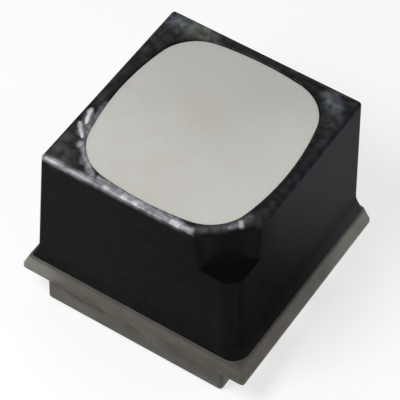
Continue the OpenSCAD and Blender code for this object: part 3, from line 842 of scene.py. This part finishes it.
def makeBase(material):
    size = baseMoulding
    lowZ = boxes["base_moulding"][0][2]
    flangeHalf = boxes["base_moulding"][1][:2]
    footHalf = flangeHalf - size["footInset"]
    ramp, radius = size["pocketRamp"], size["cornerRadius"]

    pocketX = footHalf[0] - size["padLength"] - size["pocketGap"]
    pocketHalfY = leadWidth / 2 + size["pocketGap"]
    rowEdges = [row * pinPitch + side * pocketHalfY for row in (-1, 0, 1) for side in (-1, 1)]
    lineX = packedLines(footHalf[0], [-pocketX, pocketX], ramp, size["lineSpacing"], radius)
    lineY = packedLines(footHalf[1], rowEdges, ramp, size["lineSpacing"], radius)
    gridX, gridY = np.meshgrid(lineX, lineY)

    def underside(x, y):
        # height of the underside: the foot's level, and the pads' top inside a pocket
        inX = easeStep(-ramp / 2, ramp / 2, np.abs(x) - pocketX)
        depths = (pocketHalfY - np.abs(y - row * pinPitch) for row in (-1, 0, 1))
        inY = sum(easeStep(-ramp / 2, ramp / 2, depth) for depth in depths)
        return lowZ + inX * inY * (leadSize["thickness"] - lowZ)

    def stretchEnds(value, half, newHalf):
        # only lines near the ends move, by an eased share of the change in half size
        moved = easeStep(size["endZone"] * half, half, np.abs(value))
        return value + np.sign(value) * (newHalf - half) * moved

    def ringRow(half, corner, z):
        # ring of the underside's border moved out to another rounded rectangle
        ringX, ringY = (stretchEnds(square[:, axis], footHalf[axis], half[axis]) for axis in (0, 1))
        ringX, ringY = bendCorners(ringX, ringY, half[0], half[1], corner)
        return np.stack([ringX, ringY, np.broadcast_to(z, ringX.shape)], 1)[None]

    # the foot: its rounded lower edge, then straight up
    square = borderOf(np.stack([gridX, gridY], 2))
    squareZ = underside(square[:, 0], square[:, 1])
    turn = list(zip(*quarterTurn(4)))
    rows = []
    for sine, cosine in turn:
        inset = size["footEdge"] * (1 - sine)
        rows.append(ringRow(footHalf - inset, radius - inset, squareZ + size["footEdge"] * (1 - cosine)))
    for z in size["footRows"]:
        rows.append(ringRow(footHalf, radius, z))

    # the flange: out along its underside, round its edge, up its band and its slope
    footZ, bandTop = size["footTop"], size["footTop"] + size["edgeBand"]
    edge, gap = size["flangeEdge"], size["edgeGap"]
    topHalf = skirtHalf + size["topRim"]
    rows.append(ringRow(flangeHalf - edge - gap, radius - edge, footZ))
    for sine, cosine in turn:
        inset = edge * (1 - sine)
        rows.append(ringRow(flangeHalf - inset, radius - inset, footZ + edge * (1 - cosine)))
    for z in (footZ + edge + gap / 2, bandTop - gap):
        rows.append(ringRow(flangeHalf, radius, z))
    for climbed in size["slopeShares"]:
        half = flangeHalf + (topHalf - flangeHalf) * climbed - size["slopeDraw"] * (climbed == 0)
        rows.append(ringRow(half, radius, bandTop + (skirtZ - bandTop) * climbed))
    for inset, drop in size["topRows"]:
        rows.append(ringRow(topHalf - inset, radius, skirtZ - drop))

    # the cup: up its outside, then down the well, which each column meets at its own angle, to the floor
    for z in (skirtZ, cupTopZ):
        rows.append(ringRow(housing["riserHalf"], housing["riserRadius"], z))
    riser = rows[-1][0]
    angle = np.arctan2(riser[:, 1], riser[:, 0])
    for z in np.linspace(cupTopZ, floorZ, size["cupRows"]):
        well = wellRing(np.full((1, 1), z), np.zeros((1, 1)))[0]
        wellAngle = np.arctan2(well[:, 1], well[:, 0])
        order = np.argsort(wellAngle)
        wellReach = np.hypot(well[order, 0], well[order, 1])
        reach = np.interp(angle, wellAngle[order], wellReach, period=2 * math.pi)
        ring = [reach * np.cos(angle), reach * np.sin(angle), np.full(len(angle), z)]
        rows.append(np.stack(ring, 1)[None])
    last = rows[-1]
    rows += [last * [shrink, shrink, 1.0] for shrink in (0.66, 0.33, 0.0)]

    insetHalf = footHalf - size["footEdge"]
    x, y = (stretchEnds(grid, footHalf[axis], insetHalf[axis]) for axis, grid in enumerate((gridX, gridY)))
    x, y = bendCorners(x, y, *insetHalf, radius - size["footEdge"])
    under = np.stack([x, y, underside(gridX, gridY)], 2)
    makePiece("grey_base", [(under, False, False), (np.concatenate(rows), False, True)],
              material, ["base_moulding"], 40)


# Leads: finish and shape

platingFinish = {
    "colour": (0.80, 0.79, 0.755), "duller": (0.62, 0.61, 0.58), "roughness": (0.22, 0.42),
    "drawnOut": (1.0, 9.0, 1.0), "drawn": (6000.0, 3.0, 0.6), "skin": {"Scale": 7000.0, "Fineness": 4.0},
    "depth": 0.0005, "tarnish": (1800.0, 3.0, 0.6, 0.45, 0.75, 0.0, 0.7),
}


def makePlating():
    # silver plating over drawn strip: fine lines along the strip, and slight tarnish
    look = platingFinish
    material, shader, place = newMaterial("silverPlating", Metallic=1.0, Specular_IOR_Level=0.5)
    drawn = noise(drawnOut(place, look["drawnOut"]), *look["drawn"])
    skin = useGroup(mouldedSkin, place, **look["skin"])
    colour = mixColours(mottled(place, *look["tarnish"]), look["colour"], look["duller"])
    feed(shader, Base_Color=colour, Roughness=band(drawn, 0.3, 0.7, *look["roughness"]),
         Normal=bumped(maths("ADD", drawn, skin["Height"]), look["depth"]))
    return material


def stripSection(width, thickness, radius, steps=3):
    # Rounded rectangle across the strip: offsets along its width and through its thickness, once round. Four
    # quarter arcs, and one more point in the middle of each wide side.
    starts = (0, 90, 180, 270)
    angle = np.radians(np.concatenate([np.linspace(start, start + 90, steps + 1) for start in starts]))
    signX = np.repeat([1, -1, -1, 1], steps + 1)
    signY = np.repeat([1, 1, -1, -1], steps + 1)
    across = signX * (width / 2 - radius) + radius * np.cos(angle)
    through = signY * (thickness / 2 - radius) + radius * np.sin(angle)
    wideSides = [steps + 1, 3 * (steps + 1)]
    across = np.insert(across, wideSides, [0.0, 0.0])
    through = np.insert(through, wideSides, [thickness / 2, -thickness / 2])
    return across, through


def makeLead(name, material):
    # Strip section carried along the lead's centre line: land, neck with its sideways jog, quarter bend,
    # leg, quarter bend, pad. The width stays along Y, so the jog is a shear.
    side, row = leadRows[name]
    size = leadSize
    low, high = boxes[name]
    outerX = high[0] if side > 0 else -low[0]
    landX = low[0] if side > 0 else -high[0]
    thickness = size["thickness"]
    middle = size["bendRadius"] + thickness / 2
    bendX = outerX - size["bendRadius"] - thickness
    neckZ = high[2] - thickness / 2
    padEndX = boxes["base_moulding"][1][0] - baseMoulding["footInset"][0] - baseMoulding["padLength"]
    turn = np.linspace(0, math.pi / 2, 9)

    gaps = (-size["jogGap"], size["jogGap"])
    jogX = [end + gap for end in (size["jogStart"], size["jogEnd"]) for gap in gaps]
    lineX = np.concatenate([[landX], jogX, bendX + middle * np.sin(turn), bendX + middle * np.cos(turn),
                            np.linspace(bendX, padEndX, 6)[1:]])
    lineZ = np.concatenate([np.full(5, neckZ),
                            neckZ - middle + middle * np.cos(turn),
                            thickness / 2 + middle - middle * np.sin(turn),
                            np.full(5, thickness / 2)])
    normalX = np.concatenate([np.zeros(5), np.sin(turn), np.cos(turn), np.zeros(5)])
    normalZ = np.concatenate([np.ones(5), np.cos(turn), -np.sin(turn), -np.ones(5)])
    jog = np.clip((lineX[:5] - size["jogStart"]) / (size["jogEnd"] - size["jogStart"]), 0, 1)
    lineY = np.concatenate([row * (landPitch + (pinPitch - landPitch) * jog),
                            np.full(len(lineX) - 5, row * pinPitch)])

    across, through = stripSection(leadWidth, thickness, size["edge"])
    rows = [np.stack([lineX[at] + through * normalX[at], lineY[at] + across,
                      lineZ[at] + through * normalZ[at]], 1) for at in range(len(lineX))]

    def endCap(at):
        # rounded over, then closed at the middle of the end face
        cap = []
        for sine, cosine in zip(*quarterTurn(3)):
            inset = size["edge"] * (1 - cosine)
            shrinkWidth, shrinkThickness = 1 - 2 * inset / leadWidth, 1 - 2 * inset / thickness
            cap.append(np.stack([np.full(len(across), lineX[at]) + (1 - sine) * size["edge"],
                                 lineY[at] + across * shrinkWidth,
                                 lineZ[at] + through * shrinkThickness * normalZ[at]], 1))
        centre = np.array([lineX[at], lineY[at], lineZ[at]])
        return cap + [centre + (cap[-1] - centre) * shrink for shrink in (0.5, 0.0)]

    points = np.stack([*endCap(0)[::-1], *rows[1:-1], *endCap(-1)])
    points[..., 0] *= side
    makePiece("formed_" + name, [(points, False, True)], material, [name])


# Chips, their adhesive and the bond wires keep their solids

insideFinish = {
    # each chip's top and the current lines on it
    "dies": {"red_chip": ("redDie", (0.30, 0.07, 0.045), (0.18, 0.045, 0.035)),
             "green_chip": ("greenDie", (0.12, 0.34, 0.20), (0.30, 0.52, 0.42)),
             "blue_chip": ("blueDie", (0.10, 0.20, 0.46), (0.30, 0.42, 0.62))},
    "sawnOut": (1.0, 1.0, 12.0), "sawMarks": (9000.0, 3.0), "sawDepth": 0.0008, "dieRoughness": (0.12, 0.4),
    "lineScale": 6000.0, "lineWander": 0.4, "lineShare": 0.35,
    # silver paste and clear glue: two colours, how metallic, roughness
    "pastes": {"silverPaste": (["red_adhesive"], (0.5, 0.5, 0.48), (0.72, 0.72, 0.7), 0.8, (0.3, 0.5)),
               "clearAdhesive": (["green_adhesive", "blue_adhesive"], (0.66, 0.64, 0.56), (0.74, 0.72, 0.65),
                                 0.0, (0.15, 0.25))},
    "flakes": (30000.0, 4.0, 0.7), "flakeDepth": 0.0006,
    "wireDrawnOut": (1.0, 8.0, 1.0), "wireStreaks": (20000.0, 2.0), "wireRoughness": (0.14, 0.3),
    "gold": (0.90, 0.60, 0.20), "tarnishedGold": (0.78, 0.50, 0.18),
}


def makeDie(name, topColour, lineColour):
    # sawn wafer: even top with a fine pattern of current lines, rougher saw marks down the sides
    look = insideFinish
    material, shader, place = newMaterial(name, Specular_IOR_Level=0.6, IOR=2.4)
    sawMarks = noise(drawnOut(place, look["sawnOut"]), *look["sawMarks"])
    wave = addNode(place.id_data, "TexWave", {"wave_type": "BANDS", "bands_direction": "X"},
                   Vector=place, Scale=look["lineScale"], Distortion=look["lineWander"]).outputs["Fac"]
    lines = times(band(wave, 0.7, 0.9), look["lineShare"])
    feed(shader, Base_Color=mixColours(lines, topColour, lineColour),
         Roughness=band(sawMarks, 0.3, 0.7, *look["dieRoughness"]),
         Normal=bumped(sawMarks, look["sawDepth"]))
    return material


def makePaste(name, first, second, metallic, roughness):
    # cured drop: flakes for silver paste, a smoother skin for the clear glue
    material, shader, place = newMaterial(name, Metallic=metallic, Specular_IOR_Level=0.5)
    flakes = noise(place, *insideFinish["flakes"])
    feed(shader, Base_Color=mixColours(band(flakes, 0.35, 0.65), first, second),
         Roughness=band(flakes, 0.3, 0.7, *roughness),
         Normal=bumped(flakes, insideFinish["flakeDepth"]))
    return material


def makeGold():
    # drawn wire: lengthwise streaks and slight tarnish
    look = insideFinish
    material, shader, place = newMaterial("goldWire", Metallic=1.0)
    streaks = noise(drawnOut(place, look["wireDrawnOut"]), *look["wireStreaks"])
    colour = mixColours(band(streaks, 0.3, 0.7), look["gold"], look["tarnishedGold"])
    feed(shader, Base_Color=colour, Roughness=band(streaks, 0.3, 0.7, *look["wireRoughness"]))
    return material


def dress(nodeNames, material):
    for nodeName in nodeNames:
        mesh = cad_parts[nodeName].data
        mesh.materials.clear()
        mesh.materials.append(material)


makeHousing(makeBlackPlastic())
makeResin(makeMilkyResin())
makeBase(makeGreyMoulding())
plating = makePlating()
for leadName in leadRows:
    makeLead(leadName, plating)
for chipName, dieLook in insideFinish["dies"].items():
    dress([chipName], makeDie(*dieLook))
for pasteName, (adhesives, *pasteLook) in insideFinish["pastes"].items():
    dress(adhesives, makePaste(pasteName, *pasteLook))
dress([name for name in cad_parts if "_wire" in name], makeGold())
print("chips, adhesive and wires dressed")


# Studio: pale floor, soft lamps, camera at the photograph's angle

studio = {
    "floorHalf": 120.0, "floorColour": (0.36, 0.36, 0.36), "floorLift": 0.67,
    "ambient": 0.26,
    # place and aim point in mm, width and height in mm, brightness as radiance, colour
    "lamps": {
        "keyLamp": ((-4.0, -9.5, 18.0), (0.0, 0.0, 2.0), (8.0, 8.0), 13.5, (1.0, 1.0, 0.99)),
        "topLamp": ((-22.0, 30.0, 46.0), (0.0, 0.0, 2.0), (26.0, 26.0), 1.2, (0.98, 0.99, 1.0)),
        "sideLamp": ((46.0, 18.0, 26.0), (0.0, 0.0, 1.5), (24.0, 18.0), 2.9, (1.0, 1.0, 1.0)),
    },
}


def seenWhite(tree):
    # 1 for what the camera sees, straight, in gloss or through glass
    ray = addNode(tree, "LightPath").outputs
    either = maths("MAXIMUM", ray["Is Camera Ray"], ray["Is Glossy Ray"])
    return maths("MAXIMUM", either, ray["Is Transmission Ray"])


def makeWorld():
    # soft light on the object, and plain white where the surroundings are seen
    scene.world = bpy.data.worlds.new("studioWorld")
    tree = emptyTree(scene.world)
    light, white = (addNode(tree, "Background", Color=(1, 1, 1, 1), Strength=strength).outputs[0]
                    for strength in (studio["ambient"], 1.0))
    seen = combine("MixShader", None, {0: seenWhite(tree), 1: light, 2: white})[0]
    plug(tree.nodes.new("ShaderNodeOutputWorld").inputs[0], seen)


def makeFloor():
    # paper that takes the shadow, lifted towards white where it is seen
    half = studio["floorHalf"] * mm
    mesh = bpy.data.meshes.new("floor")
    corners = [(-half, -half, 0), (half, -half, 0), (half, half, 0), (-half, half, 0)]
    mesh.from_pydata(corners, [], [(0, 1, 2, 3)])
    material = bpy.data.materials.new("palePaper")
    tree = emptyTree(material)
    paper = addNode(tree, "BsdfDiffuse", Color=(*studio["floorColour"], 1.0)).outputs[0]
    strength = times(seenWhite(tree), studio["floorLift"])
    lift = addNode(tree, "Emission", Color=(1, 1, 1, 1), Strength=strength).outputs[0]
    total = combine("AddShader", None, {0: paper, 1: lift})[0]
    plug(tree.nodes.new("ShaderNodeOutputMaterial").inputs["Surface"], total)
    mesh.materials.append(material)
    floor = addObject("floor", mesh)


def makeLamp(name, place, aim, size, radiance, colour):
    # area lamp whose power gives the stated radiance over its face
    lamp = bpy.data.lights.new(name, "AREA")
    lamp.shape = "RECTANGLE"
    lamp.size, lamp.size_y = size[0] * mm, size[1] * mm
    lamp.energy = radiance * math.pi * lamp.size * lamp.size_y
    lamp.color = colour
    holder = addObject(name, lamp)
    holder.location = Vector(place) * mm
    holder.rotation_euler = (Vector(aim) - Vector(place)).to_track_quat("-Z", "Y").to_euler()


camera = {
    # degrees, mm from the middle of the rim, then focal length and image width in pixels, and mm again
    "azimuth": 30.752, "elevation": 51.258, "roll": 2.549, "distance": 29.52, "offRight": -0.044,
    "offDown": 0.910, "focal": 2312.5, "imageWidth": 400, "sensor": 36.0, "clip": (1, 500),
}


def makeCamera():
    view = camera
    azimuth, elevation, roll = (math.radians(view[key]) for key in ("azimuth", "elevation", "roll"))
    back = Vector((math.sin(azimuth) * math.cos(elevation), -math.cos(azimuth) * math.cos(elevation),
                   math.sin(elevation)))
    level = (-back).cross(Vector((0, 0, 1))).normalized()
    upright = level.cross(-back)
    right = math.cos(roll) * level + math.sin(roll) * upright
    up = -math.sin(roll) * level + math.cos(roll) * upright
    place = Vector((0, 0, topZ)) + back * view["distance"] + right * view["offRight"] - up * view["offDown"]
    lens = bpy.data.cameras.new("camera")
    lens.sensor_width = view["sensor"]
    lens.lens = view["focal"] / view["imageWidth"] * view["sensor"]
    lens.clip_start, lens.clip_end = (distance * mm for distance in view["clip"])
    scene.camera = addObject("camera", lens)
    turn = Matrix((right, up, back)).transposed().to_4x4()
    scene.camera.matrix_world = Matrix.Translation(place * mm) @ turn


makeWorld()
makeFloor()
for lampName, lampSpec in studio["lamps"].items():
    makeLamp(lampName, *lampSpec)
makeCamera()
scene.view_settings.view_transform = "Standard"
print("studio ready")
